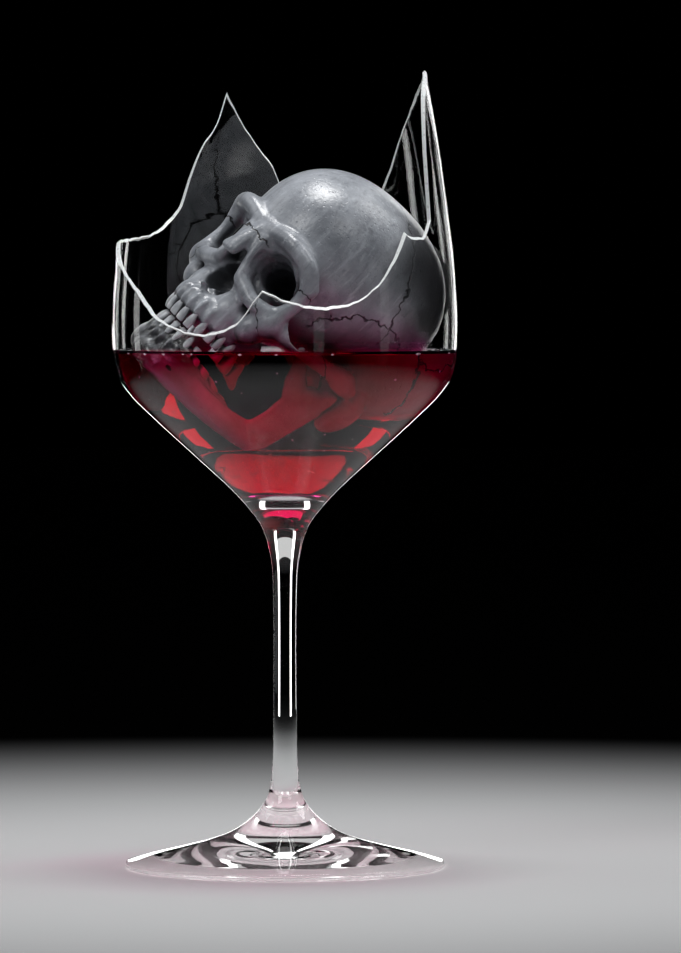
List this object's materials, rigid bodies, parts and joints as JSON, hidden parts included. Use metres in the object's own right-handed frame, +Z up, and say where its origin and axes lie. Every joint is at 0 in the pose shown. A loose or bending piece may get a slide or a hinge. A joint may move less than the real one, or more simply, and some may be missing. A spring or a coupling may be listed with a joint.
{
  "type": "broken wine glass",
  "caption": "Stemmed wine glass with a jagged broken rim, red wine to the widest part of its bowl, and a miniature skull with its jaw lying in the wine.",
  "frame": {"origin": "middle of the foot's underside, on the plane that the glass stands on", "axes": "+Z up along the stem; +X towards the tallest spike of the broken rim; -Y towards the lowest part of the rim"},
  "size_m": [0.1, 0.1, 0.23],
  "materials": {
    "glass": "clear, polished, sharp where broken",
    "wine": "clear dark red liquid",
    "bone": "cool grey cast bone, semi-matt, wet near the wine"
  },
  "bodies": {
    "root": {"wine_glass": "glass", "red_wine": "wine", "skull": "bone", "jaw": "bone"}
  },
  "joints": []
}
